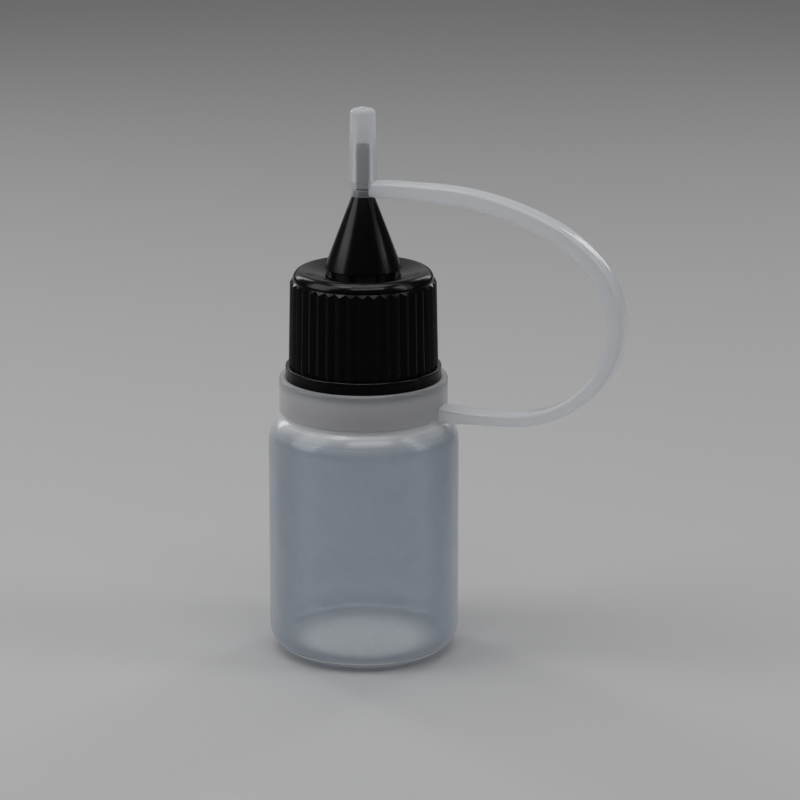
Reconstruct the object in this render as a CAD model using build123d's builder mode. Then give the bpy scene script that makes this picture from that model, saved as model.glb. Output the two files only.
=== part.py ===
"""Needle-tip glue applicator bottle, 5 ml, in millimetres.

The squeeze bottle carries a black screw cap, and the nozzle cone with its steel needle stands
through the cap. A translucent moulding keeps the needle cover on the bottle. It has three
stretches: a ring that swivels round the foot of the cap, a bent strap, and the cover itself.

The frame: +Z is up along the bottle's axis, and the origin is on that axis in the plane that
the bottle stands on. The strap's loop leans from +X a little towards -Y.
"""

from build123d import *
import os
from math import atan, cos, pi, sin, sqrt, tan

os.makedirs("parts", exist_ok=True)

# Driving dimensions -------------------------------------------------------------------------

# Bottle body
BODY_RADIUS = 11.0
WALL = 0.9
BASE_CORNER = 3.1
STANDING_RING_WIDTH = 1.5
PUNT_DEPTH = 0.8
SHOULDER_START = 25.0
SHOULDER_RADIUS = 4.0
LEDGE_RADIUS = 9.45
LEDGE_TOP = 28.6

# Neck
NECK_RADIUS = 6.25
NECK_BORE = 5.0
NECK_TOP = 42.6
NECK_LIP_CHAMFER = 0.3

# Thread between the neck and the cap: a trapezoid, right-handed, let into its wall by a share of its depth
THREAD_PITCH = 3.0
THREAD_TURNS = 1.5
THREAD_ROOT_WIDTH = 1.4
THREAD_CREST_WIDTH = 0.7
THREAD_BITE = 0.3
NECK_THREAD_CREST = 6.95
NECK_THREAD_START = 35.6
CAP_THREAD_CREST = 6.55
CAP_THREAD_AZIMUTH = 150.0

# Screw cap
CAP_BOTTOM = 31.9
CAP_FLANGE_RADIUS = 8.98
CAP_FLANGE_TOP = 34.1
CAP_FLANGE_ROUND = 0.15
CAP_SKIRT_LOW_RADIUS = 8.6
CAP_SKIRT_HIGH_RADIUS = 8.4
CAP_TOP = 45.3
CAP_SHOULDER_ROUND = 1.15
CAP_DISH_DEPTH = 0.7
CAP_BORE = 7.15
CAP_CEILING = 43.65
CAP_HOLE = 4.28
FLUTE_COUNT = 40
FLUTE_DEPTH = 0.3
FLUTE_RUN_OUT = 0.6
FLUTE_LAND = 0.05

# Snap joint between the foot of the cap and the tether ring
SNAP_GROOVE_BOTTOM = 32.15
SNAP_GROOVE_HEIGHT = 0.5
SNAP_GROOVE_DEPTH = 0.22
SNAP_BEAD_REACH = 0.2
SNAP_CLEARANCE = 0.07

# Nozzle
NOZZLE_FLANGE_RADIUS = 6.6
NOZZLE_FLANGE_THICKNESS = 1.0
NOZZLE_COLLAR_RADIUS = 4.2
NOZZLE_PLUG_RADIUS = 4.95
NOZZLE_PLUG_LENGTH = 3.5
NOZZLE_PLUG_WALL = 1.05
CONE_BASE = 45.45
CONE_BASE_RADIUS = 4.46
CONE_BASE_ROUND = 0.18
CONE_TIP = 54.5
CONE_TIP_RADIUS = 1.03
CONE_WALL = 1.25
CONE_HOLLOW_TOP = 50.0

# Needle
NEEDLE_RADIUS = 0.36
NEEDLE_BORE = 0.2
NEEDLE_TIP = 59.3

# Tether ring
RING_RADIUS = 9.72
RING_BOTTOM = 28.7
RING_TOP = 32.74
RING_WALL_INNER = 9.05
RING_FLOOR_INNER = 7.1
RING_FLOOR_THICKNESS = 1.5
RING_TOP_ROUND = 0.28
RING_BOTTOM_CHAMFER = 0.15
RING_STUB_START = 9.6
RING_STUB_END = 10.4

# Needle cover
COVER_MOUTH = 53.9
COVER_SKIRT_RADIUS = 1.5
COVER_SKIRT_TOP = 55.0
COVER_LOW_RADIUS = 1.62
COVER_HIGH_RADIUS = 1.44
COVER_TOP = 63.9
COVER_TOP_ROUND = 0.45
COVER_NUB_RADIUS = 0.4
COVER_NUB_HEIGHT = 0.2
COVER_BEAD_Z = 55.4
COVER_BEAD_ROUND = 0.5
COVER_BEAD_RADIUS = 1.76
COVER_BORE = 0.78
COVER_BORE_TOP = 59.8
COVER_FIT = 0.06
COVER_STUB_START = 1.0
COVER_STUB_END = 2.5

# Strap: a flat band whose middle line stays in one upright plane through the bottle's axis
STRAP_AZIMUTH = -20.0
STRAP_WIDTH = 2.75
STRAP_THICKNESS = 1.8
STRAP_EDGE_ROUND = 0.5
STRAP_HEIGHT_AT_COVER = 54.8
STRAP_COVER_RUN = 5.75
STRAP_BENDS = [(34.0, 24.5), (15.4, 27.5), (10.4, 76.0), (13.4, 44.5), (33.0, 7.5)]

# Worked-out heights and directions ----------------------------------------------------------

standing_radius = BODY_RADIUS - BASE_CORNER
shoulder_centre = BODY_RADIUS - SHOULDER_RADIUS
nozzle_flange_top = NECK_TOP + NOZZLE_FLANGE_THICKNESS
cone_slope = (CONE_BASE_RADIUS - CONE_TIP_RADIUS) / (CONE_TIP - CONE_BASE)
skirt_slope = (CAP_SKIRT_LOW_RADIUS - CAP_SKIRT_HIGH_RADIUS) / (CAP_TOP - CAP_FLANGE_TOP)
strap_plane = Plane.XZ.rotated((0, 0, STRAP_AZIMUTH))


def shoulder_height(arc_radius, radius):
    """Height at which a shoulder arc of this radius has come in to the given bottle radius."""
    return SHOULDER_START + sqrt(arc_radius**2 - (radius - shoulder_centre) ** 2)


def cone_radius(height):
    """Radius of the nozzle cone's outside at a height."""
    return CONE_TIP_RADIUS + cone_slope * (CONE_TIP - height)


def helical_thread(wall_radius, crest_radius, start, azimuth=0.0):
    """One thread of the closure, standing out of a wall towards crest_radius.

    Its flanks run on a little way into the wall, so that the two join without a gap.
    """
    depth = crest_radius - wall_radius
    root_radius = wall_radius - depth * THREAD_BITE
    root_half = THREAD_ROOT_WIDTH / 2 + (THREAD_ROOT_WIDTH - THREAD_CREST_WIDTH) / 2 * THREAD_BITE
    crest_half = THREAD_CREST_WIDTH / 2
    with BuildPart() as thread:
        with BuildLine() as path:
            Helix(THREAD_PITCH, THREAD_PITCH * THREAD_TURNS, wall_radius, center=(0, 0, start))
        with BuildSketch(Plane.XZ):
            Polygon(
                (root_radius, start - root_half),
                (crest_radius, start - crest_half),
                (crest_radius, start + crest_half),
                (root_radius, start + root_half),
                align=None,
            )
        sweep(path=path.wires()[0], is_frenet=True)
    return thread.part.rotate(Axis.Z, azimuth)


def strap_stub(start, end, height):
    """Root of the strap: a short straight length of its section, along the strap's plane."""
    with BuildPart() as stub:
        with BuildSketch(strap_section_plane(start, height)):
            RectangleRounded(STRAP_WIDTH, STRAP_THICKNESS, STRAP_EDGE_ROUND)
        extrude(amount=end - start)
    return stub.part


def strap_section_plane(distance, height):
    """Plane across the strap where it runs level, at a distance from the bottle's axis."""
    origin = strap_plane.from_local_coords((distance, height, 0))
    return Plane(origin=origin, x_dir=strap_plane.z_dir, z_dir=strap_plane.x_dir)


# Strap's middle line ------------------------------------------------------------------------

with BuildLine(strap_plane) as strap_line:
    stretch = Line(
        (COVER_STUB_END, STRAP_HEIGHT_AT_COVER),
        (COVER_STUB_END + STRAP_COVER_RUN, STRAP_HEIGHT_AT_COVER),
    )
    for bend_radius, turn in STRAP_BENDS:
        stretch = JernArc(stretch @ 1, stretch % 1, bend_radius, -turn)
    strap_height_at_ring = (stretch @ 1).Z
    Line(stretch @ 1, strap_plane.from_local_coords((RING_STUB_END, strap_height_at_ring, 0)))

# Bottle -------------------------------------------------------------------------------------

neck_thread = helical_thread(NECK_RADIUS, NECK_THREAD_CREST, NECK_THREAD_START)

with BuildPart() as bottle:
    with BuildSketch(Plane.XZ):
        with BuildLine():
            punt_radius = standing_radius - STANDING_RING_WIDTH
            punt_arc = (punt_radius**2 + PUNT_DEPTH**2) / (2 * PUNT_DEPTH)
            ledge_foot = shoulder_height(SHOULDER_RADIUS, LEDGE_RADIUS)
            # Outside, from the middle of the base up to the lip
            RadiusArc((0, PUNT_DEPTH), (punt_radius, 0), punt_arc)
            Line((punt_radius, 0), (standing_radius, 0))
            RadiusArc((standing_radius, 0), (BODY_RADIUS, BASE_CORNER), -BASE_CORNER)
            Line((BODY_RADIUS, BASE_CORNER), (BODY_RADIUS, SHOULDER_START))
            RadiusArc((BODY_RADIUS, SHOULDER_START), (LEDGE_RADIUS, ledge_foot), -SHOULDER_RADIUS)
            Polyline(
                (LEDGE_RADIUS, ledge_foot),
                (LEDGE_RADIUS, LEDGE_TOP),
                (NECK_RADIUS, LEDGE_TOP),
                (NECK_RADIUS, NECK_TOP - NECK_LIP_CHAMFER),
                (NECK_RADIUS - NECK_LIP_CHAMFER, NECK_TOP),
                (NECK_BORE, NECK_TOP),
                (NECK_BORE, LEDGE_TOP - WALL),
            )
            # Inside, from the neck's root down to the middle of the floor
            inner_arc = SHOULDER_RADIUS - WALL
            inner_ledge = shoulder_centre + sqrt(inner_arc**2 - (LEDGE_TOP - WALL - SHOULDER_START) ** 2)
            Line((NECK_BORE, LEDGE_TOP - WALL), (inner_ledge, LEDGE_TOP - WALL))
            RadiusArc((inner_ledge, LEDGE_TOP - WALL), (BODY_RADIUS - WALL, SHOULDER_START), inner_arc)
            Line((BODY_RADIUS - WALL, SHOULDER_START), (BODY_RADIUS - WALL, BASE_CORNER))
            RadiusArc((BODY_RADIUS - WALL, BASE_CORNER), (standing_radius, WALL), BASE_CORNER - WALL)
            Line((standing_radius, WALL), (punt_radius, WALL))
            RadiusArc((punt_radius, WALL), (0, PUNT_DEPTH + WALL), -punt_arc)
            Line((0, PUNT_DEPTH + WALL), (0, PUNT_DEPTH))
        make_face()
    revolve(axis=Axis.Z)
    add(neck_thread)
bottle.part.label = "bottle"
export_step(bottle.part, "parts/bottle.step")

# Screw cap ----------------------------------------------------------------------------------

# The cap's thread bears on the underside of the neck's thread, one helix just below the other
threads_apart = (THREAD_ROOT_WIDTH + THREAD_CREST_WIDTH) / 2
cap_thread_start = NECK_THREAD_START - threads_apart - THREAD_PITCH * (1 - CAP_THREAD_AZIMUTH / 360)
cap_thread = helical_thread(CAP_BORE, CAP_THREAD_CREST, cap_thread_start, CAP_THREAD_AZIMUTH)

with BuildPart() as flute:
    flute_root = CAP_SKIRT_LOW_RADIUS - FLUTE_DEPTH
    flute_half = pi * CAP_SKIRT_LOW_RADIUS / FLUTE_COUNT - FLUTE_LAND / 2
    with BuildSketch(Plane.XY.offset(CAP_FLANGE_TOP)) as flute_section:
        Polygon(
            (flute_root, 0),
            (flute_root + 2 * FLUTE_DEPTH, 2 * flute_half),
            (flute_root + 2 * FLUTE_DEPTH, -2 * flute_half),
            align=None,
        )
    fluted_height = CAP_TOP - CAP_SHOULDER_ROUND - FLUTE_RUN_OUT - CAP_FLANGE_TOP
    along_skirt = Vector(-skirt_slope * fluted_height, 0, fluted_height)
    extrude(amount=along_skirt.length, dir=along_skirt.normalized())
    run_out = Vector(FLUTE_DEPTH, 0, FLUTE_RUN_OUT)
    upper_end = flute.faces().sort_by(Axis.Z)[-1]
    extrude(upper_end, amount=run_out.length, dir=run_out.normalized())

with BuildPart() as screw_cap:
    with BuildSketch(Plane.XZ):
        with BuildLine():
            shoulder_round_foot = CAP_TOP - CAP_SHOULDER_ROUND
            rim_radius = CAP_SKIRT_HIGH_RADIUS - CAP_SHOULDER_ROUND
            groove_radius = CAP_FLANGE_RADIUS - SNAP_GROOVE_DEPTH
            groove_top = SNAP_GROOVE_BOTTOM + SNAP_GROOVE_HEIGHT
            Polyline(
                (CAP_BORE, CAP_BOTTOM),
                (CAP_FLANGE_RADIUS, CAP_BOTTOM),
                (CAP_FLANGE_RADIUS, SNAP_GROOVE_BOTTOM),
                (groove_radius, SNAP_GROOVE_BOTTOM),
                (groove_radius, groove_top),
                (CAP_FLANGE_RADIUS, groove_top),
                (CAP_FLANGE_RADIUS, CAP_FLANGE_TOP - CAP_FLANGE_ROUND),
            )
            RadiusArc(
                (CAP_FLANGE_RADIUS, CAP_FLANGE_TOP - CAP_FLANGE_ROUND),
                (CAP_FLANGE_RADIUS - CAP_FLANGE_ROUND, CAP_FLANGE_TOP),
                -CAP_FLANGE_ROUND,
            )
            Polyline(
                (CAP_FLANGE_RADIUS - CAP_FLANGE_ROUND, CAP_FLANGE_TOP),
                (CAP_SKIRT_LOW_RADIUS, CAP_FLANGE_TOP),
                (CAP_SKIRT_HIGH_RADIUS, shoulder_round_foot),
            )
            RadiusArc((CAP_SKIRT_HIGH_RADIUS, shoulder_round_foot), (rim_radius, CAP_TOP),
                      -CAP_SHOULDER_ROUND)
            Polyline(
                (rim_radius, CAP_TOP),
                (CAP_HOLE, CAP_TOP - CAP_DISH_DEPTH),
                (CAP_HOLE, CAP_CEILING),
                (CAP_BORE, CAP_CEILING),
                (CAP_BORE, CAP_BOTTOM),
            )
        make_face()
    revolve(axis=Axis.Z)
    with PolarLocations(0, FLUTE_COUNT):
        add(flute.part, mode=Mode.SUBTRACT)
    add(cap_thread)
screw_cap.part.label = "screw_cap"
export_step(screw_cap.part, "parts/screw_cap.step")

# Nozzle -------------------------------------------------------------------------------------

with BuildPart() as nozzle:
    with BuildSketch(Plane.XZ):
        with BuildLine():
            plug_foot = NECK_TOP - NOZZLE_PLUG_LENGTH
            plug_bore = NOZZLE_PLUG_RADIUS - NOZZLE_PLUG_WALL
            hollow_top_radius = cone_radius(CONE_HOLLOW_TOP) - CONE_WALL
            lean = atan(cone_slope)
            reach = CONE_BASE_ROUND / tan((pi / 2 - lean) / 2)
            round_start = (CONE_BASE_RADIUS - reach, CONE_BASE)
            round_end = (CONE_BASE_RADIUS - reach * sin(lean), CONE_BASE + reach * cos(lean))
            Polyline(
                (plug_bore, plug_foot),
                (NOZZLE_PLUG_RADIUS, plug_foot),
                (NOZZLE_PLUG_RADIUS, NECK_TOP),
                (NOZZLE_FLANGE_RADIUS, NECK_TOP),
                (NOZZLE_FLANGE_RADIUS, nozzle_flange_top),
                (NOZZLE_COLLAR_RADIUS, nozzle_flange_top),
                (NOZZLE_COLLAR_RADIUS, CONE_BASE),
                round_start,
            )
            RadiusArc(round_start, round_end, -CONE_BASE_ROUND)
            Polyline(
                round_end,
                (CONE_TIP_RADIUS, CONE_TIP),
                (NEEDLE_RADIUS, CONE_TIP),
                (NEEDLE_RADIUS, CONE_HOLLOW_TOP),
                (hollow_top_radius, CONE_HOLLOW_TOP),
                (plug_bore, nozzle_flange_top),
                (plug_bore, plug_foot),
            )
        make_face()
    revolve(axis=Axis.Z)
nozzle.part.label = "nozzle"
export_step(nozzle.part, "parts/nozzle.step")

# Needle -------------------------------------------------------------------------------------

with BuildPart() as needle:
    with BuildSketch(Plane.XY.offset(CONE_HOLLOW_TOP)):
        Circle(NEEDLE_RADIUS)
        Circle(NEEDLE_BORE, mode=Mode.SUBTRACT)
    extrude(amount=NEEDLE_TIP - CONE_HOLLOW_TOP)
needle.part.label = "needle"
export_step(needle.part, "parts/needle.step")

# Tether ring --------------------------------------------------------------------------------

ring_stub = strap_stub(RING_STUB_START, RING_STUB_END, strap_height_at_ring)

with BuildPart() as tether_ring:
    with BuildSketch(Plane.XZ):
        with BuildLine():
            bead_inner = RING_WALL_INNER - SNAP_BEAD_REACH
            bead_bottom = SNAP_GROOVE_BOTTOM + SNAP_CLEARANCE
            bead_top = SNAP_GROOVE_BOTTOM + SNAP_GROOVE_HEIGHT - SNAP_CLEARANCE
            Polyline(
                (RING_FLOOR_INNER, RING_BOTTOM),
                (RING_RADIUS - RING_BOTTOM_CHAMFER, RING_BOTTOM),
                (RING_RADIUS, RING_BOTTOM + RING_BOTTOM_CHAMFER),
                (RING_RADIUS, RING_TOP - RING_TOP_ROUND),
            )
            RadiusArc((RING_RADIUS, RING_TOP - RING_TOP_ROUND), (RING_RADIUS - RING_TOP_ROUND, RING_TOP),
                      -RING_TOP_ROUND)
            Polyline(
                (RING_RADIUS - RING_TOP_ROUND, RING_TOP),
                (RING_WALL_INNER, RING_TOP),
                (RING_WALL_INNER, bead_top),
                (bead_inner, bead_top),
                (bead_inner, bead_bottom),
                (RING_WALL_INNER, bead_bottom),
                (RING_WALL_INNER, RING_BOTTOM + RING_FLOOR_THICKNESS),
                (RING_FLOOR_INNER, RING_BOTTOM + RING_FLOOR_THICKNESS),
                (RING_FLOOR_INNER, RING_BOTTOM),
            )
        make_face()
    revolve(axis=Axis.Z)
    add(ring_stub)
tether_ring.part.label = "tether_ring"
export_step(tether_ring.part, "parts/tether_ring.step")

# Strap --------------------------------------------------------------------------------------

with BuildPart() as tether_strap:
    add(strap_line)
    with BuildSketch(strap_section_plane(COVER_STUB_END, STRAP_HEIGHT_AT_COVER)):
        RectangleRounded(STRAP_WIDTH, STRAP_THICKNESS, STRAP_EDGE_ROUND)
    sweep()
tether_strap.part.label = "tether_strap"
export_step(tether_strap.part, "parts/tether_strap.step")

# Needle cover -------------------------------------------------------------------------------

cover_stub = strap_stub(COVER_STUB_START, COVER_STUB_END, STRAP_HEIGHT_AT_COVER)

with BuildPart() as needle_cover:
    with BuildSketch(Plane.XZ):
        with BuildLine():
            Polyline(
                (0, COVER_MOUTH),
                (COVER_SKIRT_RADIUS - COVER_FIT, COVER_MOUTH),
                (COVER_SKIRT_RADIUS, COVER_MOUTH + COVER_FIT),
                (COVER_SKIRT_RADIUS, COVER_SKIRT_TOP),
                (COVER_LOW_RADIUS, COVER_SKIRT_TOP),
                (COVER_HIGH_RADIUS, COVER_TOP - COVER_TOP_ROUND),
            )
            RadiusArc((COVER_HIGH_RADIUS, COVER_TOP - COVER_TOP_ROUND),
                      (COVER_HIGH_RADIUS - COVER_TOP_ROUND, COVER_TOP), -COVER_TOP_ROUND)
            Polyline(
                (COVER_HIGH_RADIUS - COVER_TOP_ROUND, COVER_TOP),
                (COVER_NUB_RADIUS, COVER_TOP),
                (COVER_NUB_RADIUS, COVER_TOP + COVER_NUB_HEIGHT),
                (0, COVER_TOP + COVER_NUB_HEIGHT),
                (0, COVER_MOUTH),
            )
        make_face()
        with Locations((COVER_BEAD_RADIUS - COVER_BEAD_ROUND, COVER_BEAD_Z)):
            Circle(COVER_BEAD_ROUND)
    revolve(axis=Axis.Z)
    add(cover_stub)
    with BuildSketch(Plane.XZ):
        Polygon(
            (0, COVER_MOUTH),
            (cone_radius(COVER_MOUTH) + COVER_FIT, COVER_MOUTH),
            (CONE_TIP_RADIUS + COVER_FIT, CONE_TIP + COVER_FIT),
            (COVER_BORE, CONE_TIP + COVER_FIT),
            (COVER_BORE, COVER_BORE_TOP),
            (0, COVER_BORE_TOP),
            align=None,
        )
    revolve(axis=Axis.Z, mode=Mode.SUBTRACT)
needle_cover.part.label = "needle_cover"
export_step(needle_cover.part, "parts/needle_cover.step")
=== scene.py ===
"""Glue applicator bottle: the finished look of every piece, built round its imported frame.

A squeeze bottle of milky plastic carries a gloss black screw cap. A black nozzle cone with a steel
needle stands through the cap. A third, milky moulding holds the needle's cover: a ring that swivels
round the foot of the cap, a strap bent over in a loop, and the cover itself.

Shapes are written in millimetres and put into the scene in metres. The bottle's axis is Z, it
stands on z = 0, and the strap's loop leans from +X a little towards the camera, which looks
along +Y.
"""

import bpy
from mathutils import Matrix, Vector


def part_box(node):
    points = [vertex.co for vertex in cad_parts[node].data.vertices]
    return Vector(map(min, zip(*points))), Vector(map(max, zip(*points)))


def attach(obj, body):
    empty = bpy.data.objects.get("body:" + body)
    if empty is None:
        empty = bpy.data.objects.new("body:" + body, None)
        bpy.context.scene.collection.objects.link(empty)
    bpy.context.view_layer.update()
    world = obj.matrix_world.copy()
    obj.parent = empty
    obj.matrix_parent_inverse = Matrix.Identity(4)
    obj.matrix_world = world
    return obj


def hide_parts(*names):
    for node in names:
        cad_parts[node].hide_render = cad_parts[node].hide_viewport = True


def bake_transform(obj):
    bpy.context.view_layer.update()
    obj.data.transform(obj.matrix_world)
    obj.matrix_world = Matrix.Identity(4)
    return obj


bl_info = {
    "name": "Glue Applicator Bottle",
    "version": (1, 0, 0),
    "blender": (4, 5, 0),
    "location": "3D View > Sidebar > Glue Bottle",
    "description": "Builds a squeeze bottle with a fluted cap, a needle nozzle and a tethered cover",
    "category": "Add Mesh",
}

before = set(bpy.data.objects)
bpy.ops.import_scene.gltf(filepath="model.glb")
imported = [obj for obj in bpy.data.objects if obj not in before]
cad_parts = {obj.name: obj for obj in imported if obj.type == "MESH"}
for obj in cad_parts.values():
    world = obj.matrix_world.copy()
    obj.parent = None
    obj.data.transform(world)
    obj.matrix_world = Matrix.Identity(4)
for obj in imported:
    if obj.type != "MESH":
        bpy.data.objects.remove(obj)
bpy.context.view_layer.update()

from math import acos, asin, cos, hypot, pi, radians, sin, tau

import bmesh
import bpy
from bpy.props import FloatProperty, FloatVectorProperty, IntProperty, PointerProperty
from mathutils import Matrix, Vector

MM = 0.001
UP = Vector((0.0, 0.0, 1.0))
ORIGIN = Vector((0.0, 0.0, 0.0))

# Where the shading breaks instead of flowing on from one face to the next
SHARP_ANGLE = radians(32.0)
MERGE_DISTANCE = 0.0002 * MM

# Steps round a full turn
BOTTLE_STEPS = 160
SMALL_STEPS = 96

# The thread that the neck and the cap share
THREAD_PITCH = 3.0
THREAD_TURNS = 1.5
THREAD_ROOT_WIDTH = 1.4
THREAD_CREST_WIDTH = 0.7
THREAD_STEPS_A_TURN = 64

# Strap: radius and turn of each bend, from the cover round to the ring
STRAP_BENDS = ((34.0, 24.5), (15.4, 27.5), (10.4, 76.0), (13.4, 44.5), (33.0, 7.5))
STRAP_STEP_ANGLE = 2.5
STRAP_STRAIGHT_STEPS = 6

# How thick the strap is beside its nominal size, against the share of the way from cover to ring
STRAP_SWELL = ((0.0, 1.05), (0.5, 1.14), (0.8, 0.84), (0.94, 0.8), (1.0, 1.08))

# Milky plastic: the share of its scattered light that goes on through, where it is thin and thick
THIN_GLOW = 0.58
THICK_GLOW = 0.22

# Lamps: name, azimuth and elevation in degrees, distance, width and height in metres, and watts.
# Azimuths turn from the camera's side, anticlockwise seen from above.
LAMPS = (
    ("overhead_softbox", 180.0, 84.0, 0.34, 0.26, 0.26, 0.46),
    ("backdrop", 180.0, 25.0, 0.7, 0.9, 0.45, 0.5),
    ("left_softbox", -80.0, 32.0, 0.36, 0.24, 0.3, 0.46),
    ("right_softbox", 78.0, 32.0, 0.4, 0.12, 0.3, 0.32),
    ("left_back_strip", -142.0, 26.0, 0.4, 0.06, 0.24, 0.2),
    ("right_back_strip", 145.0, 26.0, 0.4, 0.06, 0.24, 0.14),
    ("front_fill", 10.0, 58.0, 0.5, 0.4, 0.14, 0.55),
    ("left_high_softbox", -66.0, 66.0, 0.36, 0.12, 0.1, 0.12),
)


# ---------------------------------------------------------------------------------- settings

def top_of(node):
    """Height of a node's highest point, in metres."""
    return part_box(node)[1].z


def reach_of(node):
    """How far a turned node reaches from the axis, in metres, read on the side away from the strap."""
    return -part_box(node)[0].x


def length(name, description, default):
    """A size in metres that a user may change."""
    return FloatProperty(name=name, description=description, default=default, min=0.0, precision=5,
                         unit="LENGTH", subtype="DISTANCE")


def colour(name, description, default):
    """A linear colour that a user may change."""
    return FloatVectorProperty(name=name, description=description, default=default, size=3, min=0.0,
                               max=1.0, subtype="COLOR")


def share(name, description, default):
    """A share from 0 to 1 that a user may change."""
    return FloatProperty(name=name, description=description, default=default, min=0.0, max=1.0,
                         subtype="FACTOR")


class GlueBottleSizes(bpy.types.PropertyGroup):
    """Sizes of the squeeze bottle."""

    radius: length("Radius", "Outside radius of the body", reach_of("bottle"))
    wall: length("Wall", "Thickness of the body's wall", 0.9 * MM)
    base_corner: length("Base corner", "Radius of the round between the side and the base", 3.1 * MM)
    punt_depth: length("Punt depth", "How far the middle of the base is pushed up", 0.8 * MM)
    neck_top: length("Neck top", "Height of the neck's lip", top_of("bottle"))


class GlueCapSizes(bpy.types.PropertyGroup):
    """Sizes of the screw cap."""

    top: length("Top", "Height of the cap's rim", top_of("screw_cap"))
    flute_depth: length("Flute depth", "Depth of each groove in the skirt", 0.3 * MM)
    flutes: IntProperty(name="Flutes", description="Grooves round the skirt", default=40, min=8, max=90)


class GlueTetherSizes(bpy.types.PropertyGroup):
    """Sizes of the ring, the strap and the needle cover."""

    azimuth: FloatProperty(name="Strap azimuth", description="Which way the strap's loop leans",
                           default=radians(-20.0), subtype="ANGLE")
    strap_width: length("Strap width", "Width of the strap, front to back", 2.75 * MM)
    strap_thickness: length("Strap thickness", "Thickness of the strap", 1.8 * MM)
    cover_top: length("Cover top", "Height of the cover's tip", top_of("needle_cover"))


class GlueFinishes(bpy.types.PropertyGroup):
    """Colours and finishes."""

    bottle_tint: colour("Bottle tint", "Colour of the bottle's milky plastic", (0.49, 0.55, 0.64))
    bottle_clear: share("Bottle clearness", "How much each wall lets through unscattered", 0.5)
    tether_tint: colour("Tether tint", "Colour of the ring, strap and cover", (0.91, 0.92, 0.945))
    tether_clear: share("Tether clearness", "How much the moulding lets through unscattered", 0.2)
    cover_clear: share("Cover clearness", "How much the needle cover lets through unscattered", 0.52)
    ring_clear: share("Ring clearness", "How much the ring's thin wall lets through unscattered", 0.55)
    # The base's whiter, warmer tint is partly the thick base's own colour and partly painted light from
    # below
    floor_tint: colour("Base tint", "Colour of the base, seen inside the bottle", (0.95, 0.92, 0.88))
    ring_tint: colour("Ring tint", "Colour of the ring where it is thick", (0.66, 0.66, 0.68))
    edge_tint: colour("Edge tint", "Colour of milky plastic where it is thick or seen edge on",
                      (0.93, 0.93, 0.93))
    black: colour("Black", "Colour of the cap and the cone", (0.0025, 0.0025, 0.003))
    steel: colour("Steel", "Colour of the needle", (0.52, 0.52, 0.51))


class GlueStage(bpy.types.PropertyGroup):
    """The floor, the lights and the camera."""

    floor: colour("Floor", "Colour of the floor", (0.58, 0.58, 0.58))
    camera_distance: length("Camera distance", "From the camera to the point it looks at", 0.42)
    camera_height: FloatProperty(name="Camera elevation", description="How steeply the camera looks down",
                                 default=radians(15.5), subtype="ANGLE")
    brightness: FloatProperty(name="Brightness", description="Strength of all the lamps together",
                              default=0.75, min=0.0, soft_max=4.0)


SETTINGS = (
    ("glue_bottle", GlueBottleSizes),
    ("glue_cap", GlueCapSizes),
    ("glue_tether", GlueTetherSizes),
    ("glue_finishes", GlueFinishes),
    ("glue_stage", GlueStage),
)


# ----------------------------------------------------------------------------- turned shapes

class Outline:
    """A pen that draws half of a turned shape in the XZ plane, radius by height in millimetres."""

    def __init__(self, radius, height):
        self.bm = bmesh.new()
        self.first = self.bm.verts.new((radius * MM, 0.0, height * MM))
        self.last = self.first
        self.corners = []

    def line(self, *points):
        """Straight runs through the points, with sharp corners between them."""
        for radius, height in points:
            point = self.bm.verts.new((radius * MM, 0.0, height * MM))
            self.bm.edges.new((self.last, point))
            self.last = point

    def corner(self, radius, height, rounding):
        self.line((radius, height))
        self.corners.append((self.last, rounding * MM))

    def arc(self, radius, height, degrees, steps):
        """An arc about a centre, anticlockwise where degrees is positive."""
        swung = bmesh.ops.spin(self.bm, geom=[self.last], cent=(radius * MM, 0.0, height * MM),
                               axis=(0.0, -1.0, 0.0), angle=radians(degrees), steps=steps)
        self.last = next(part for part in swung["geom_last"] if isinstance(part, bmesh.types.BMVert))

    def close(self):
        """A straight run back to where the outline began."""
        self.bm.edges.new((self.last, self.first))

    def finish(self):
        """Round the marked corners and hand over the outline."""
        for point, rounding in self.corners:
            bmesh.ops.bevel(self.bm, geom=[point], offset=rounding, offset_type="OFFSET", segments=3,
                            profile=0.5, affect="VERTICES", material=-1, clamp_overlap=True)
        return self.bm


def tidy_shell(bm):
    """Close seams and poles, and turn every face outwards."""
    bmesh.ops.remove_doubles(bm, verts=bm.verts, dist=MERGE_DISTANCE)
    bmesh.ops.recalc_face_normals(bm, faces=bm.faces)


def turn(bm, steps):
    """Spin an outline right round the axis."""
    bmesh.ops.spin(bm, geom=bm.verts[:] + bm.edges[:], cent=ORIGIN, axis=UP, angle=tau, steps=steps,
                   use_merge=True)
    tidy_shell(bm)


def add_thread(bm, wall_radius, crest_radius, start, azimuth):
    """Wind one thread on a wall: a trapezoid section carried up a right-handed helix."""
    root_radius = wall_radius - (crest_radius - wall_radius) * 0.3
    section = [
        bm.verts.new((radius * MM, 0.0, (start + height) * MM))
        for radius, height in (
            (root_radius, -THREAD_ROOT_WIDTH / 2),
            (crest_radius, -THREAD_CREST_WIDTH / 2),
            (crest_radius, THREAD_CREST_WIDTH / 2),
            (root_radius, THREAD_ROOT_WIDTH / 2),
        )
    ]
    face = bm.faces.new(section)
    bmesh.ops.rotate(bm, verts=section, cent=ORIGIN, matrix=Matrix.Rotation(azimuth, 3, "Z"))
    before = set(bm.verts) - set(section)
    bmesh.ops.spin(bm, geom=[face] + face.edges[:] + section, cent=ORIGIN, axis=UP,
                   angle=tau * THREAD_TURNS, steps=round(THREAD_STEPS_A_TURN * THREAD_TURNS),
                   dvec=(0.0, 0.0, THREAD_PITCH / THREAD_STEPS_A_TURN * MM))
    threaded = {face for vert in set(bm.verts) - before for face in vert.link_faces}
    bmesh.ops.recalc_face_normals(bm, faces=list(threaded))


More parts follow.
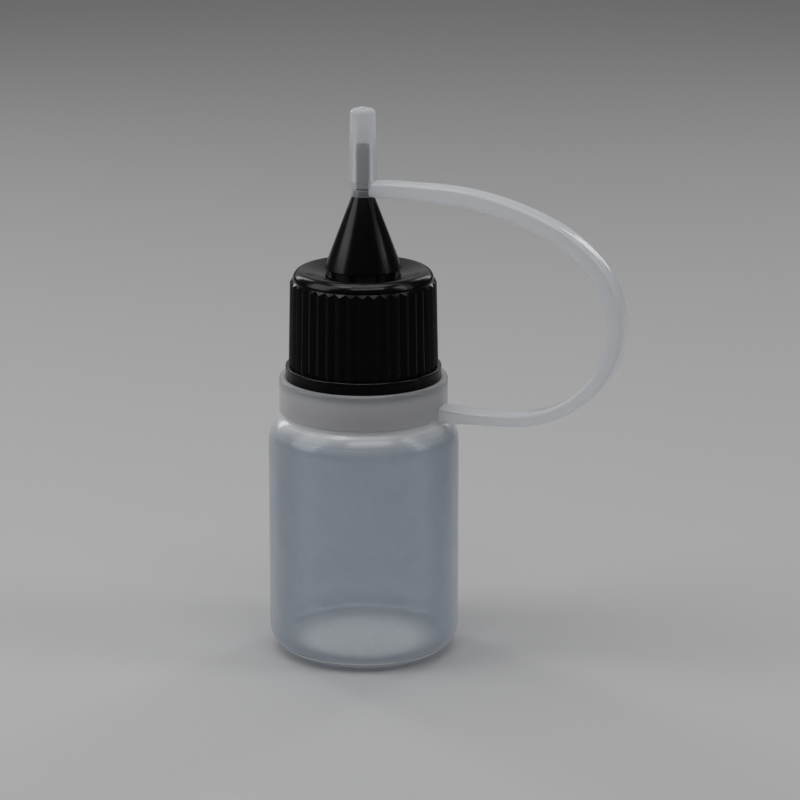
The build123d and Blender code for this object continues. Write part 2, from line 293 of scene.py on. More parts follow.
def add_piece(bm, name, materials, replaced, body=None):
    """Make an object of a finished mesh, and set it in for the CAD node that it stands for."""
    for face in bm.faces:
        face.smooth = True
    for edge in bm.edges:
        edge.smooth = not edge.is_manifold or edge.calc_face_angle() < SHARP_ANGLE
    mesh = bpy.data.meshes.new(name)
    bm.to_mesh(mesh)
    bm.free()
    for material in materials:
        mesh.materials.append(material)
    piece = bpy.data.objects.new(name, mesh)
    bpy.context.scene.collection.objects.link(piece)
    if body:
        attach(piece, body)
    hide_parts(replaced)
    return piece


def swell_at(way):
    """The strap's thickness at a share of the way along it, eased from one stated place to the next."""
    for (start, first), (end, second) in zip(STRAP_SWELL, STRAP_SWELL[1:]):
        if way <= end:
            eased = (1 - cos(pi * (way - start) / (end - start))) / 2
            return first + (second - first) * eased
    return STRAP_SWELL[-1][1]


# ---------------------------------------------------------------------------------- finishes

def add_node(tree, kind, inputs=None, **options):
    """Add one shader node, set its options, and link or set its inputs."""
    node = tree.nodes.new(kind)
    for option, value in options.items():
        setattr(node, option, value)
    for socket, value in (inputs or {}).items():
        if isinstance(value, bpy.types.NodeSocket):
            tree.links.new(value, node.inputs[socket])
        else:
            node.inputs[socket].default_value = value
    return node


def new_material(name):
    """An empty node material with its output node."""
    material = bpy.data.materials.new(name)
    material.use_nodes = True
    tree = material.node_tree
    tree.nodes.clear()
    return material, tree, tree.nodes.new("ShaderNodeOutputMaterial")


def place(tree):
    """The object's own coordinates."""
    return tree.nodes.new("ShaderNodeTexCoord").outputs["Object"]


def stretched(tree, vector, scale):
    """Coordinates scaled apart on each axis, for a pattern that runs one way."""
    return add_node(tree, "ShaderNodeMapping", {"Vector": vector, "Scale": scale}).outputs["Vector"]


def clouds(tree, vector, size, detail=3.0, roughness=0.5):
    """Soft noise whose clouds are about size millimetres across."""
    noise = add_node(tree, "ShaderNodeTexNoise", {
        "Vector": vector, "Scale": 1.0 / (size * MM), "Detail": detail, "Roughness": roughness})
    return noise.outputs["Fac"]


def between(tree, value, from_low, from_high, to_low, to_high):
    """A value carried from one range to another, and held inside it."""
    carried = add_node(tree, "ShaderNodeMapRange", {
        "Value": value, "From Min": from_low, "From Max": from_high, "To Min": to_low, "To Max": to_high})
    return carried.outputs["Result"]


def combine(tree, operation, first, second):
    """Two values put together by one sum."""
    return add_node(tree, "ShaderNodeMath", {0: first, 1: second}, operation=operation).outputs[0]


def bumped(tree, height, depth, strength):
    """A normal that follows small heights, whose full range is depth millimetres."""
    bump = add_node(tree, "ShaderNodeBump", {
        "Strength": strength, "Distance": depth * MM, "Height": height})
    return bump.outputs["Normal"]


def tinted(tree, amount, first, second):
    """A colour between two tints."""
    return add_node(tree, "ShaderNodeMix", {0: amount, 6: (*first, 1.0), 7: (*second, 1.0)},
                    data_type="RGBA", clamp_factor=True).outputs[2]


def darker(tint, factor):
    """A tint with each part brought down by one factor."""
    return [part * factor for part in tint]


def mixed(tree, amount, first, second):
    """A shader between two shaders."""
    return add_node(tree, "ShaderNodeMixShader", {0: amount, 1: first, 2: second}).outputs[0]


def edge_facing(tree):
    """How far a face looks away from the eye, for gloss and for thin walls."""
    return add_node(tree, "ShaderNodeLayerWeight", {"Blend": 0.5}).outputs["Facing"]


def milky_plastic(name, tint, clearness, edge_tint, thick_below=0.0, thick_above=0.0, scuffed_below=0.0,
                  painted_glow=0.0, painted_glow_reach=0.0):
    """Thin translucent polyethylene: cloudy, waxy, and whiter where the wall is seen edge on.

    The wall is thicker, and so whiter, below and above the two heights, in millimetres. Below
    a third it has the fine marks of standing and sliding about. A floor can glow with painted light,
    an emission standing in for light through the base, fading towards its reach, in mm from the axis.
    """
    low_fade = 0.6
    high_fade = 1.8
    scuff_fade = 0.6
    material, tree, output = new_material(name)
    where = place(tree)
    cloud = clouds(tree, where, 3.2)
    ripple = clouds(tree, stretched(tree, where, (1.0, 1.0, 0.4)), 2.6, 1.0)
    facing = edge_facing(tree)
    edge_on = between(tree, facing, 0.3, 0.85, 0.0, 1.0)
    through = between(tree, edge_on, 0.0, 1.0, clearness, clearness * 0.2)
    through = combine(tree, "MULTIPLY", through, between(tree, cloud, 0.3, 0.7, 1.04, 0.95))
    rough = between(tree, cloud, 0.3, 0.7, 0.1, 0.17)
    white = combine(tree, "ADD", combine(tree, "MULTIPLY", edge_on, 0.4),
                    between(tree, cloud, 0.35, 0.65, 0.0, 0.1))
    glowing = THIN_GLOW
    height = add_node(tree, "ShaderNodeSeparateXYZ", {"Vector": where}).outputs["Z"]
    if thick_below or thick_above:
        low = between(tree, height, (thick_below - low_fade) * MM, thick_below * MM, 1.0, 0.0)
        high = between(tree, height, (thick_above - high_fade) * MM, thick_above * MM, 0.0, 1.0)
        thick = combine(tree, "ADD", low, high) if thick_above else low
        through = combine(tree, "MULTIPLY", through, between(tree, thick, 0.0, 1.0, 1.0, 0.4))
        white = combine(tree, "ADD", white, thick)
        glowing = between(tree, thick, 0.0, 1.0, THIN_GLOW, THICK_GLOW)
    if scuffed_below:
        foot = between(tree, height, (scuffed_below - scuff_fade) * MM, scuffed_below * MM, 1.0, 0.0)
        scratch = clouds(tree, stretched(tree, where, (1.0, 1.0, 6.0)), 0.5, 6.0, 0.7)
        scuff = combine(tree, "MULTIPLY", foot, between(tree, scratch, 0.52, 0.62, 0.0, 1.0))
        through = combine(tree, "SUBTRACT", through, combine(tree, "MULTIPLY", scuff, 0.1))
        rough = combine(tree, "ADD", rough, combine(tree, "MULTIPLY", scuff, 0.3))
    shade = tinted(tree, white, tint, edge_tint)

    normal = bumped(tree, ripple, 0.012, 0.3)
    skin = add_node(tree, "ShaderNodeBsdfPrincipled", {
        "Base Color": shade, "Roughness": rough, "Specular IOR Level": 0.0, "Normal": normal})
    glow = add_node(tree, "ShaderNodeBsdfTranslucent", {"Color": shade})
    body = mixed(tree, glowing, skin.outputs[0], glow.outputs[0])
    # Painted glow: an emission that stands in for light coming up through the base, fading out towards its
    # reach
    if painted_glow:
        flat = stretched(tree, where, (1.0, 1.0, 0.0))
        out = add_node(tree, "ShaderNodeVectorMath", {0: flat}, operation="LENGTH").outputs["Value"]
        shine = between(tree, out, painted_glow_reach * 0.6 * MM, painted_glow_reach * MM, painted_glow, 0.0)
        painted_glow_light = add_node(tree, "ShaderNodeEmission", {"Color": shade, "Strength": shine})
        body = add_node(tree, "ShaderNodeAddShader", {0: body, 1: painted_glow_light.outputs[0]}).outputs[0]
    clear = add_node(tree, "ShaderNodeBsdfTransparent", {"Color": (0.95, 0.965, 0.98, 1.0)})
    wall = mixed(tree, through, body, clear.outputs[0])
    gloss = add_node(tree, "ShaderNodeBsdfGlossy", {
        "Color": (1.0, 1.0, 1.0, 1.0), "Roughness": rough, "Normal": normal})
    glancing = between(tree, combine(tree, "POWER", facing, 5.0), 0.0, 1.0, 0.045, 0.6)
    tree.links.new(mixed(tree, glancing, wall, gloss.outputs[0]), output.inputs["Surface"])
    return material


def cavity_wall_painted_shade(name, tint, clearness):
    """The wall of a hollow inside milky plastic, painted near black as painted shade, which shows grey
    through it.
    """
    material, tree, output = new_material(name)
    where = place(tree)
    cloud = clouds(tree, where, 0.9)
    shade = tinted(tree, cloud, tint, darker(tint, 0.75))
    normal = bumped(tree, clouds(tree, where, 0.2), 0.01, 0.4)
    skin = add_node(tree, "ShaderNodeBsdfPrincipled", {
        "Base Color": shade, "Roughness": between(tree, cloud, 0.3, 0.7, 0.4, 0.55), "Normal": normal})
    facing = edge_facing(tree)
    through = between(tree, facing, 0.12, 0.75, clearness, 0.95)
    clear = add_node(tree, "ShaderNodeBsdfTransparent", {"Color": (0.75, 0.78, 0.8, 1.0)})
    tree.links.new(mixed(tree, through, skin.outputs[0], clear.outputs[0]), output.inputs["Surface"])
    return material


def gloss_black(name, tint, low_roughness, high_roughness, gloss, flow, dull_sides=False):
    """Black moulded plastic with a polished face, faint mould flow, hairline marks and some dust.

    Upright sides that the mould has dragged along are duller than the faces that look up.
    """
    material, tree, output = new_material(name)
    where = place(tree)
    if dull_sides:
        normal = tree.nodes.new("ShaderNodeTexCoord").outputs["Normal"]
        upwards = add_node(tree, "ShaderNodeSeparateXYZ", {"Vector": normal}).outputs["Z"]
        gloss = between(tree, upwards, 0.05, 0.3, gloss * 0.15, gloss)
    smudge = clouds(tree, where, 2.4, 4.0, 0.6)
    grain = clouds(tree, where, 0.12, 3.0, 0.6)
    wave = clouds(tree, stretched(tree, where, flow), 1.4, 2.0)
    dust = between(tree, clouds(tree, where, 0.16, 2.0, 0.5), 0.66, 0.74, 0.0, 1.0)
    paler = [part * 2.6 + 0.004 for part in tint]
    shade = tinted(tree, combine(tree, "MULTIPLY", dust, 0.5), tint, paler)
    rough = combine(tree, "ADD", between(tree, smudge, 0.35, 0.7, low_roughness, high_roughness),
                    combine(tree, "MULTIPLY", dust, 0.12))
    normal = bumped(tree, combine(tree, "ADD", wave, combine(tree, "MULTIPLY", grain, 0.1)), 0.02, 0.35)
    skin = add_node(tree, "ShaderNodeBsdfPrincipled", {
        "Base Color": shade, "Roughness": rough, "IOR": 1.5, "Specular IOR Level": gloss,
        "Normal": normal})
    tree.links.new(skin.outputs[0], output.inputs["Surface"])
    return material


def drawn_steel(name, tint):
    """Drawn stainless tube, with fine lines along its length."""
    material, tree, output = new_material(name)
    where = place(tree)
    lines = clouds(tree, stretched(tree, where, (1.0, 1.0, 0.02)), 0.05, 3.0, 0.7)
    stain = clouds(tree, where, 0.8)
    shade = tinted(tree, between(tree, stain, 0.4, 0.7, 0.0, 0.5), tint, darker(tint, 0.7))
    skin = add_node(tree, "ShaderNodeBsdfPrincipled", {
        "Base Color": shade, "Metallic": 1.0, "Roughness": between(tree, lines, 0.3, 0.7, 0.22, 0.4),
        "Normal": bumped(tree, lines, 0.004, 0.5)})
    tree.links.new(skin.outputs[0], output.inputs["Surface"])
    return material


def plain_floor(name, tint):
    """A matt board with a faint grain."""
    material, tree, output = new_material(name)
    where = place(tree)
    cloud = clouds(tree, where, 60.0)
    grain = clouds(tree, where, 0.4, 3.0, 0.6)
    shade = tinted(tree, cloud, tint, darker(tint, 0.97))
    skin = add_node(tree, "ShaderNodeBsdfPrincipled", {
        "Base Color": shade, "Roughness": between(tree, cloud, 0.3, 0.7, 0.55, 0.65),
        "Normal": bumped(tree, grain, 0.02, 0.2)})
    tree.links.new(skin.outputs[0], output.inputs["Surface"])
    return material


# ------------------------------------------------------------------------------------ pieces

class GLUE_OT_bottle(bpy.types.Operator):
    """Build the squeeze bottle: base, body, shoulder and threaded neck"""

    bl_idname = "glue.bottle"
    bl_label = "Squeeze Bottle"

    def execute(self, context):
        """Draw the wall's outline, turn it, and wind the thread on its neck."""
        sizes = context.scene.glue_bottle
        radius = sizes.radius / MM
        wall = sizes.wall / MM
        corner = sizes.base_corner / MM
        punt = sizes.punt_depth / MM
        neck_top = sizes.neck_top / MM
        neck_radius = 6.25
        neck_bore = 5.0
        ring_width = 1.5
        shoulder_start = 25.0
        shoulder = 4.0
        ledge_radius = 9.45
        ledge_top = 28.6
        gate_radius = 0.7
        gate_drop = 0.15
        thread_crest = 6.95
        thread_start = 35.6

        standing = radius - corner
        punt_radius = standing - ring_width
        punt_arc = (punt_radius**2 + punt**2) / (2 * punt)
        punt_centre = punt - punt_arc
        punt_turn = asin(punt_radius / punt_arc)
        gate_turn = asin(gate_radius / punt_arc)
        gate_edge = punt_centre + punt_arc * cos(gate_turn)

        # Outside, from the gate mark under the base up to the lip
        outline = Outline(0.0, gate_edge - gate_drop)
        outline.corner(gate_radius * 0.8, gate_edge - gate_drop, 0.08)
        outline.line((gate_radius, gate_edge))
        outline.arc(0.0, punt_centre, (gate_turn - punt_turn) * 180 / pi, 10)
        outline.corner(punt_radius + 0.02, 0.0, 0.01)
        outline.line((standing, 0.0))
        outline.arc(standing, corner, 90.0, 14)
        outline.line((radius, shoulder_start))
        shoulder_centre = radius - shoulder
        ledge_turn = acos((ledge_radius - shoulder_centre) / shoulder)
        outline.arc(shoulder_centre, shoulder_start, ledge_turn * 180 / pi, 12)
        outline.corner(ledge_radius, ledge_top, 0.12)
        outline.corner(neck_radius, ledge_top, 0.4)
        outline.corner(neck_radius, neck_top, 0.3)
        outline.corner(neck_bore, neck_top, 0.15)
        # Inside, from the neck's root down to the middle of the floor
        ceiling = ledge_top - wall
        inner_shoulder = shoulder - wall
        inner_turn = asin((ceiling - shoulder_start) / inner_shoulder)
        outline.corner(neck_bore, ceiling, 0.4)
        outline.line((shoulder_centre + inner_shoulder * cos(inner_turn), ceiling))
        outline.arc(shoulder_centre, shoulder_start, -inner_turn * 180 / pi, 10)
        outline.line((radius - wall, corner))
        outline.arc(standing, corner, -90.0, 12)
        outline.line((punt_radius, wall))
        outline.arc(0.0, punt_centre + wall, punt_turn * 180 / pi, 10)
        bm = outline.finish()
        turn(bm, BOTTLE_STEPS)
        add_thread(bm, neck_radius, thread_crest, thread_start, 0.0)
        materials = self.paint(bm, context.scene.glue_finishes, radius, wall, standing, punt, ceiling)
        add_piece(bm, "squeeze_bottle", materials, "bottle", "bottle")
        return {"FINISHED"}

    def paint(self, bm, finishes, radius, wall, standing, punt, ceiling):
        """Give the outside, the inside and the floor each their own milky plastic; the floor's has a
        painted glow.
        """
        white_above = 27.8
        scuffed_below = 2.0
        inside_clearness = 0.93
        floor_clearness = 0.15
        # Strength and reach of the floor's painted glow, an emission standing in for light coming up
        # through the base
        painted_floor_glow = 0.34
        painted_floor_glow_reach = 9.7
        inside_slot = 1
        floor_slot = 2
        plastic = milky_plastic("milky_bottle_plastic", finishes.bottle_tint, finishes.bottle_clear,
                                finishes.edge_tint, thick_above=white_above,
                                scuffed_below=scuffed_below)
        inner_skin = milky_plastic("milky_bottle_inside", finishes.bottle_tint, inside_clearness,
                                   finishes.edge_tint, thick_above=white_above)
        # The floor's whiter, warmer tint is partly its own colour and partly painted light; its glow is
        # painted light
        floor_skin = milky_plastic("milky_bottle_floor_painted_glow", finishes.floor_tint, floor_clearness,
                                   finishes.floor_tint, painted_glow=painted_floor_glow,
                                   painted_glow_reach=painted_floor_glow_reach)
        # The floor's finish, with its painted glow, takes in the pushed-up middle and a little of the round
        # at its edge
        middle_rise = punt + 0.1
        edge_rise = 0.25
        for face in bm.faces:
            middle = face.calc_center_median() / MM
            out = hypot(middle.x, middle.y)
            if out < radius - wall / 2 and wall - 0.01 < middle.z < ceiling + 0.1:
                floor_top = wall + (middle_rise if out < standing else edge_rise)
                face.material_index = floor_slot if middle.z < floor_top else inside_slot
        return [plastic, inner_skin, floor_skin]


class GLUE_OT_screw_cap(bpy.types.Operator):
    """Build the screw cap: fluted skirt, foot flange, dished top and inner thread"""

    bl_idname = "glue.screw_cap"
    bl_label = "Screw Cap"

    def execute(self, context):
        """Make one flute's sector of the cap and repeat it round the axis."""
        sizes = context.scene.glue_cap
        finishes = context.scene.glue_finishes
        top = sizes.top / MM
        flute_depth = sizes.flute_depth / MM
        bottom = 31.9
        flange_radius = 8.98
        flange_top = 34.1
        skirt_low = 8.6
        skirt_high = 8.4
        shoulder = 1.15
        rib_end = 0.35
        rib_edge = 0.05
        bore = 7.15
        ceiling = 43.65
        hole = 4.28
        dish = 0.7
        groove_bottom = 32.15
        groove_top = 32.65
        groove_depth = 0.22
        thread_crest = 6.55
        thread_start = 32.8
        thread_azimuth = radians(150.0)

        rim = skirt_high - flute_depth - shoulder
        shoulder_foot = top - shoulder
        outline = Outline(hole, ceiling)
        outline.corner(hole, top - dish, 0.12)
        outline.corner(rim - 0.12, top - 0.03, 0.1)
        outline.line((rim, top))
        outline.arc(rim, shoulder_foot, -90.0, 9)
        outline.line((skirt_high, shoulder_foot - rib_end),
                     (skirt_high, shoulder_foot - rib_end - rib_edge), (skirt_low, flange_top))
        outline.corner(flange_radius, flange_top, 0.15)
        outline.line((flange_radius, groove_top), (flange_radius - groove_depth, groove_top),
                     (flange_radius - groove_depth, groove_bottom), (flange_radius, groove_bottom))
        outline.corner(flange_radius, bottom, 0.08)
        outline.corner(bore, bottom, 0.15)
        outline.line((bore, ceiling))
        outline.close()
        bm = outline.finish()

        # One sector: from a land's edge to the groove's root, to the next land's edge, and over the land
        pitch = tau / sizes.flutes
        land = radians(0.35)
        half = (pitch - land) / 2
        column = bm.verts[:] + bm.edges[:]
        for step in (half, half, land):
            column = bmesh.ops.spin(bm, geom=column, cent=ORIGIN, axis=UP, angle=step, steps=1)["geom_last"]
        self.sink_root(bm, half, flange_top, skirt_low, skirt_high, shoulder_foot, flute_depth)
        bmesh.ops.spin(bm, geom=bm.verts[:] + bm.edges[:] + bm.faces[:], cent=ORIGIN, axis=UP,
                       angle=tau - pitch, steps=sizes.flutes - 1, use_duplicate=True)
        tidy_shell(bm)
        add_thread(bm, bore, thread_crest, thread_start, thread_azimuth)

        plastic = gloss_black("black_cap_plastic", finishes.black, 0.15, 0.22, 0.38, (1.0, 1.0, 0.3),
                              dull_sides=True)
        add_piece(bm, "fluted_cap", [plastic], "screw_cap", "screw_cap")
        return {"FINISHED"}

    def is_rib_end(self, face, radius, height):
        """Whether a face of the skirt reaches up to the height at which the ribs end."""
        slack = 0.01
        tallest = 1.0
        highest = max(vert.co.z for vert in face.verts) / MM
        lowest = min(vert.co.z for vert in face.verts) / MM
        nearest = min(hypot(vert.co.x, vert.co.y) for vert in face.verts) / MM
        return nearest > radius and abs(highest - height) < slack and lowest > height - tallest

    def sink_root(self, bm, azimuth, bottom, skirt_low, skirt_high, rib_top, depth):
        """Push one column of the skirt in, which leaves ribs with slanted ends between the grooves."""
        outwards = Vector((cos(azimuth), sin(azimuth), 0.0))
        aside = UP.cross(outwards)
        slack = 0.01
        for vert in bm.verts:
            where = vert.co / MM
            on_column = abs(where.dot(aside)) < slack and where.z > bottom - slack
            if on_column and skirt_high - slack < where.dot(outwards) < skirt_low + slack:
                vert.co -= outwards * depth * MM
        # Each rib's end is a slanted three-cornered facet, with the groove's side under it
        ends = [face for face in bm.faces if self.is_rib_end(face, skirt_high - depth - slack, rib_top)]
        bmesh.ops.triangulate(bm, faces=ends, quad_method="LONG_EDGE")


class GLUE_OT_nozzle(bpy.types.Operator):
    """Build the nozzle cone with its collar, flange and plug, and finish the steel needle in it"""

    bl_idname = "glue.nozzle"
    bl_label = "Nozzle and Needle"

    def execute(self, context):
        """Turn the nozzle's outline, and give the needle its steel."""
        finishes = context.scene.glue_finishes
        neck_top = context.scene.glue_bottle.neck_top / MM
        plug_radius = 4.95
        plug_bore = 3.9
        plug_foot = neck_top - 3.5
        flange_radius = 6.6
        flange_top = neck_top + 1.0
        collar = 4.2
        base = 45.45
        base_radius = 4.46
        tip = top_of("nozzle") / MM
        tip_radius = 1.03
        needle_radius = reach_of("needle") / MM
        wall = 1.25
        hollow_top = 50.0
        outside_there = tip_radius + (base_radius - tip_radius) * (tip - hollow_top) / (tip - base)
        hollow_radius = outside_there - wall

        outline = Outline(plug_bore, plug_foot)
        outline.corner(plug_radius, plug_foot, 0.3)
        outline.line((plug_radius, neck_top))
        outline.corner(flange_radius, neck_top, 0.08)
        outline.corner(flange_radius, flange_top, 0.15)
        outline.corner(collar, flange_top, 0.15)
        outline.line((collar, base))
        outline.corner(base_radius, base, 0.18)
        outline.corner(tip_radius, tip, 0.12)
        outline.corner(needle_radius, tip, 0.05)
        outline.line((needle_radius, hollow_top), (hollow_radius, hollow_top), (plug_bore, flange_top))
        outline.close()
        bm = outline.finish()
        turn(bm, SMALL_STEPS)
        plastic = gloss_black("black_cone_plastic", finishes.black, 0.18, 0.26, 0.4, (1.0, 1.0, 0.25))
        add_piece(bm, "nozzle_cone", [plastic], "nozzle", "nozzle")

        steel = drawn_steel("drawn_needle_steel", finishes.steel)
        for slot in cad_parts["needle"].material_slots:
            slot.material = steel
        return {"FINISHED"}


class GLUE_OT_tether(bpy.types.Operator):
    """Build the tethered cover: swivelling ring, looped strap and needle cover"""

    bl_idname = "glue.tether"
    bl_label = "Tethered Cover"

    def execute(self, context):
        """Turn the ring and the cover, and carry the strap's section round its bends."""
        finishes = context.scene.glue_finishes
        foot_of_wall = 32.15
        mouth_clearness = 0.8
        bore_clearness = 0.12
        # The bore's wall is painted near black: painted shade, seen grey through the cover
        bore_painted_shade = (0.02, 0.023, 0.03)
        plastic = milky_plastic("milky_tether_plastic", finishes.tether_tint, finishes.tether_clear,
                                finishes.edge_tint)
        thin_plastic = milky_plastic("milky_ring_plastic", finishes.tether_tint, finishes.ring_clear,
                                     finishes.ring_tint, thick_below=foot_of_wall)
        clear_plastic = milky_plastic("milky_cover_plastic", finishes.tether_tint, finishes.cover_clear,
                                      finishes.edge_tint)
        mouth_plastic = milky_plastic("milky_mouth_plastic", finishes.tether_tint, mouth_clearness,
                                      finishes.edge_tint)
        hollow = cavity_wall_painted_shade("cover_bore_painted_shade", bore_painted_shade, bore_clearness)
        self.add_ring(thin_plastic)
        self.add_cover(context.scene.glue_tether, [clear_plastic, hollow, mouth_plastic])
        self.add_strap(context.scene.glue_tether, plastic)
        return {"FINISHED"}

    def add_ring(self, plastic):
        """The ring that snaps round the foot of the cap."""
        radius = reach_of("tether_ring") / MM
        top = top_of("tether_ring") / MM
        bottom = 28.7
        wall_inner = 9.05
        floor_inner = 7.1
        floor_top = 30.2
        bead_reach = 0.2
        bead_bottom = 32.22
        bead_top = 32.58
        outline = Outline(floor_inner, bottom)
        outline.corner(radius, bottom, 0.15)
        outline.corner(radius, top, 0.28)
        outline.corner(wall_inner, top, 0.1)
        outline.line((wall_inner, bead_top), (wall_inner - bead_reach, bead_top),
                     (wall_inner - bead_reach, bead_bottom), (wall_inner, bead_bottom))
        outline.corner(wall_inner, floor_top, 0.25)
        outline.corner(floor_inner, floor_top, 0.12)
        outline.close()
        bm = outline.finish()
        turn(bm, BOTTLE_STEPS)
        add_piece(bm, "swivel_ring", [plastic], "tether_ring", "tether_ring")

    def add_cover(self, sizes, materials):
        """The needle's cover, with its bead, its mouth and the bore inside."""
        tip = sizes.cover_top / MM
        nub_height = 0.2
        nub_radius = 0.42
        top = tip - nub_height
        mouth = 53.9
        mouth_radius = 1.32
        seat = 54.56
        seat_radius = 1.09
        skirt = 1.5
        skirt_top = 55.0
        low = 1.62
        high = 1.44
        bead = 1.76
        bead_height = 55.4
        bead_top = 55.82
        bead_top_radius = 1.66
        bead_foot_radius = 1.64
        bore = 0.78
        bore_top = 59.8
        bore_slot = 1
        mouth_slot = 2
        outline = Outline(0.0, tip)
        outline.corner(nub_radius - 0.06, tip, 0.15)
        outline.line((nub_radius, top))
        outline.corner(high, top, 0.45)
        outline.line((low, bead_top + 0.06))
        outline.corner(bead_top_radius, bead_top, 0.12)
        outline.corner(bead, bead_height, 0.25)
        outline.corner(bead_foot_radius, skirt_top, 0.12)
        outline.line((skirt, skirt_top - 0.04))
        outline.corner(skirt, mouth, 0.12)
        outline.corner(mouth_radius, mouth, 0.05)
        outline.line((seat_radius, seat), (bore, seat))
        outline.corner(bore, bore_top, 0.1)
        outline.line((0.0, bore_top))
        bm = outline.finish()
        turn(bm, SMALL_STEPS)
        # The mouth takes its clearer plastic, and the bore's wall the painted shade
        for face in bm.faces:
            middle = face.calc_center_median() / MM
            if middle.z < skirt_top - 0.1:
                face.material_index = mouth_slot
            elif hypot(middle.x, middle.y) < bore + 0.02 and middle.z < bore_top + 0.01:
                face.material_index = bore_slot
        add_piece(bm, "needle_cover_cap", materials, "needle_cover", "needle_cover")

    def add_strap_section(self, bm, sizes, origin, across):
        """The strap's flat section with rounded corners, stood at its root."""
        rounding = 0.5 * MM
        half_width = sizes.strap_width / 2
        half_thickness = sizes.strap_thickness / 2
        corners = [
            bm.verts.new(origin + across * half_width * side + UP * half_thickness * rise)
            for side, rise in ((-1, -1), (1, -1), (1, 1), (-1, 1))
        ]
        bm.faces.new(corners)
        bmesh.ops.bevel(bm, geom=corners, offset=rounding, offset_type="OFFSET", segments=4,
                        profile=0.5, affect="VERTICES", material=-1)
        flats = [edge for edge in bm.edges if edge.calc_length() > rounding]
        bmesh.ops.subdivide_edges(bm, edges=flats, cuts=2)

    def swell_strap(self, bm, rings, across):
        """Make each ring of the strap thicker or thinner, square to the way the strap runs there."""
        for number, (verts, middle, onward) in enumerate(rings):
            outward = across.cross(onward)
            frame_here = Matrix((onward, across, outward)).transposed().to_4x4()
            frame_here.translation = middle
            swell = swell_at(number / (len(rings) - 1))
            bmesh.ops.scale(bm, verts=verts, vec=(1.0, 1.0, swell), space=frame_here.inverted())

    def add_strap(self, sizes, plastic):
        """The strap: a rounded section carried out of the cover, round each bend and into the ring."""
        along = Vector((cos(sizes.azimuth), sin(sizes.azimuth), 0.0))
        across = UP.cross(along)
        start = 1.05
        straight_end = 8.25
        ring_end = 9.6
        height = 54.8
        root_width = 0.75
        root_thickness = 0.95
        bm = bmesh.new()
        origin = along * start * MM + UP * height * MM
        self.add_strap_section(bm, sizes, origin, across)
        start_verts = bm.verts[:]
        section = bm.edges[:]
        rings = []
        position = origin
        heading = along.copy()

        def carry(distance):
            """Carry the section straight on, in equal steps."""
            nonlocal section, position
            for _ in range(STRAP_STRAIGHT_STEPS):
                swept = bmesh.ops.extrude_edge_only(bm, edges=section)["geom"]
                section = [part for part in swept if isinstance(part, bmesh.types.BMEdge)]
                verts = [part for part in swept if isinstance(part, bmesh.types.BMVert)]
                bmesh.ops.translate(bm, verts=verts, vec=heading * distance / STRAP_STRAIGHT_STEPS)
                position = position + heading * distance / STRAP_STRAIGHT_STEPS
                rings.append((verts, position.copy(), heading.copy()))

        carry((straight_end - start) * MM)
        for bend_radius, degrees in STRAP_BENDS:
            steps = max(2, round(degrees / STRAP_STEP_ANGLE))
            quarter = Matrix.Rotation(pi / 2, 3, across)
            centre = position + quarter @ heading * bend_radius * MM
            turned = Matrix.Rotation(radians(degrees) / steps, 3, across)
            for _ in range(steps):
                swung = bmesh.ops.spin(bm, geom=section, cent=centre, axis=across,
                                       angle=radians(degrees) / steps, steps=1)["geom_last"]
                section = [part for part in swung if isinstance(part, bmesh.types.BMEdge)]
                verts = [part for part in swung if isinstance(part, bmesh.types.BMVert)]
                position = centre + turned @ (position - centre)
                heading = turned @ heading
                rings.append((verts, position.copy(), heading.copy()))
        carry(position.dot(along) - ring_end * MM)
        bmesh.ops.holes_fill(bm, edges=section, sides=0)
        self.swell_strap(bm, rings, across)
        bmesh.ops.scale(bm, verts=start_verts, vec=(1.0, root_width, root_thickness),
                        space=Matrix.Rotation(-sizes.azimuth, 4, "Z") @ Matrix.Translation(-origin))
        tidy_shell(bm)
        strap = add_piece(bm, "looped_strap", [plastic], "tether_strap")
        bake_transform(strap)


# ------------------------------------------------------------------------------------- stage

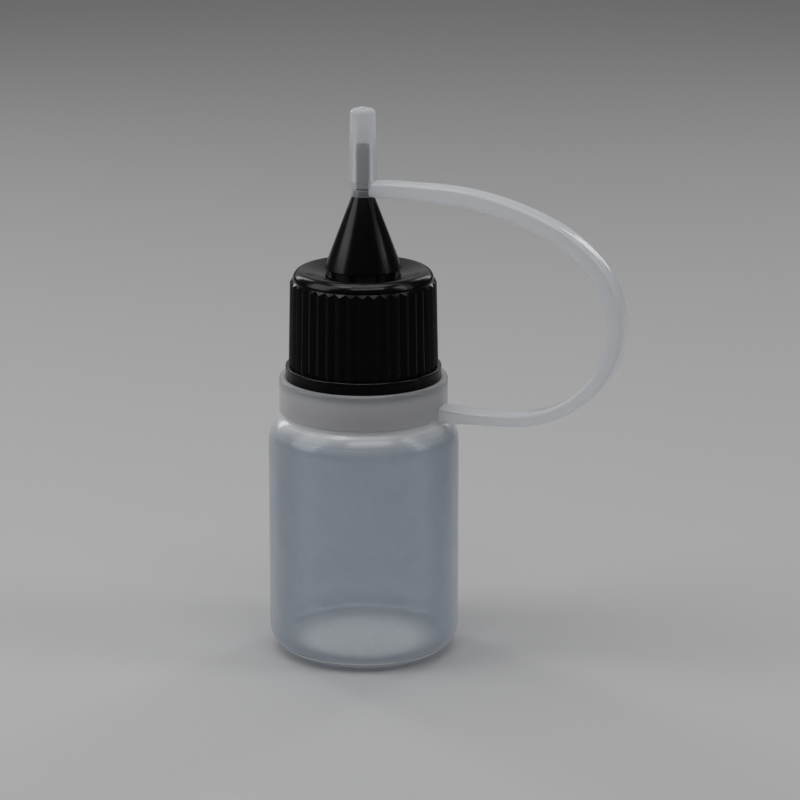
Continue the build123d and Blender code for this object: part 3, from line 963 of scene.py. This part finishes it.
class GLUE_OT_stage(bpy.types.Operator):
    """Lay the floor, hang the soft lamps and set the camera"""

    bl_idname = "glue.stage"
    bl_label = "Stage"

    def execute(self, context):
        """Add the floor, the lamps and the camera."""
        stage = context.scene.glue_stage
        self.add_floor(context, stage)
        for name, azimuth, elevation, distance, width, height, watts in LAMPS:
            power = watts * stage.brightness
            self.add_lamp(context, name, azimuth, elevation, distance, width, height, power)
        world = bpy.data.worlds.new("soft_room")
        world.use_nodes = True
        world.node_tree.nodes["Background"].inputs["Color"].default_value = (0.62, 0.66, 0.72, 1.0)
        world.node_tree.nodes["Background"].inputs["Strength"].default_value = 0.04
        context.scene.world = world
        context.scene.view_settings.view_transform = "Standard"
        self.add_camera(context, stage)
        return {"FINISHED"}

    def add_floor(self, context, stage):
        """A wide board that the bottle stands on."""
        reach = 4.0
        gap = 0.01 * MM
        bm = bmesh.new()
        bmesh.ops.create_grid(bm, x_segments=2, y_segments=2, size=reach)
        bmesh.ops.translate(bm, verts=bm.verts, vec=(0.0, 0.0, -gap))
        mesh = bpy.data.meshes.new("floor_board")
        bm.to_mesh(mesh)
        bm.free()
        mesh.materials.append(plain_floor("pale_board", stage.floor))
        floor = bpy.data.objects.new("floor_board", mesh)
        context.scene.collection.objects.link(floor)

    def add_lamp(self, context, name, azimuth, elevation, distance, width, height, power):
        """One soft rectangular lamp that faces the bottle."""
        lamp = bpy.data.lights.new(name, "AREA")
        lamp.shape = "RECTANGLE"
        lamp.size = width
        lamp.size_y = height
        lamp.energy = power
        aim = UP * top_of("bottle") * 0.7
        away = Vector((sin(radians(azimuth)) * cos(radians(elevation)),
                       -cos(radians(azimuth)) * cos(radians(elevation)), sin(radians(elevation))))
        lamp_object = bpy.data.objects.new(name, lamp)
        lamp_object.location = aim + away * distance
        lamp_object.rotation_euler = (-away).to_track_quat("-Z", "Y").to_euler()
        context.scene.collection.objects.link(lamp_object)

    def add_camera(self, context, stage):
        """A long lens, so that the upright lines stay nearly parallel."""
        camera = bpy.data.cameras.new("product_camera")
        camera.lens = 163.8
        camera.sensor_width = 36.0
        camera.clip_start = 0.01
        aim = Vector((4.2, 0.0, 29.75)) * MM
        away = Vector((0.0, -cos(stage.camera_height), sin(stage.camera_height)))
        camera_object = bpy.data.objects.new("product_camera", camera)
        camera_object.location = aim + away * stage.camera_distance
        camera_object.rotation_euler = (-away).to_track_quat("-Z", "Y").to_euler()
        context.scene.collection.objects.link(camera_object)
        context.scene.camera = camera_object


# ------------------------------------------------------------------------------------- panel

OPERATORS = (GLUE_OT_bottle, GLUE_OT_screw_cap, GLUE_OT_nozzle, GLUE_OT_tether, GLUE_OT_stage)


class GLUE_PT_bottle(bpy.types.Panel):
    """Lists the pieces of the glue bottle"""

    bl_idname = "GLUE_PT_bottle"
    bl_label = "Glue Bottle"
    bl_space_type = "VIEW_3D"
    bl_region_type = "UI"
    bl_category = "Glue Bottle"

    def draw(self, context):
        """One button for each piece, and the settings under them."""
        for operator in OPERATORS:
            self.layout.operator(operator.bl_idname)
        for name, group in SETTINGS:
            box = self.layout.box()
            for setting in group.__annotations__:
                box.prop(getattr(context.scene, name), setting)


def register():
    """Add the settings, the operators and the panel."""
    for name, group in SETTINGS:
        bpy.utils.register_class(group)
        setattr(bpy.types.Scene, name, PointerProperty(type=group))
    for operator in OPERATORS:
        bpy.utils.register_class(operator)
    bpy.utils.register_class(GLUE_PT_bottle)


def unregister():
    """Take away everything that register() added."""
    bpy.utils.unregister_class(GLUE_PT_bottle)
    for operator in reversed(OPERATORS):
        bpy.utils.unregister_class(operator)
    for name, group in reversed(SETTINGS):
        delattr(bpy.types.Scene, name)
        bpy.utils.unregister_class(group)


def main():
    """Build every piece and the stage."""
    register()
    bpy.ops.glue.bottle()
    bpy.ops.glue.screw_cap()
    bpy.ops.glue.nozzle()
    bpy.ops.glue.tether()
    bpy.ops.glue.stage()


if __name__ == "__main__":
    main()
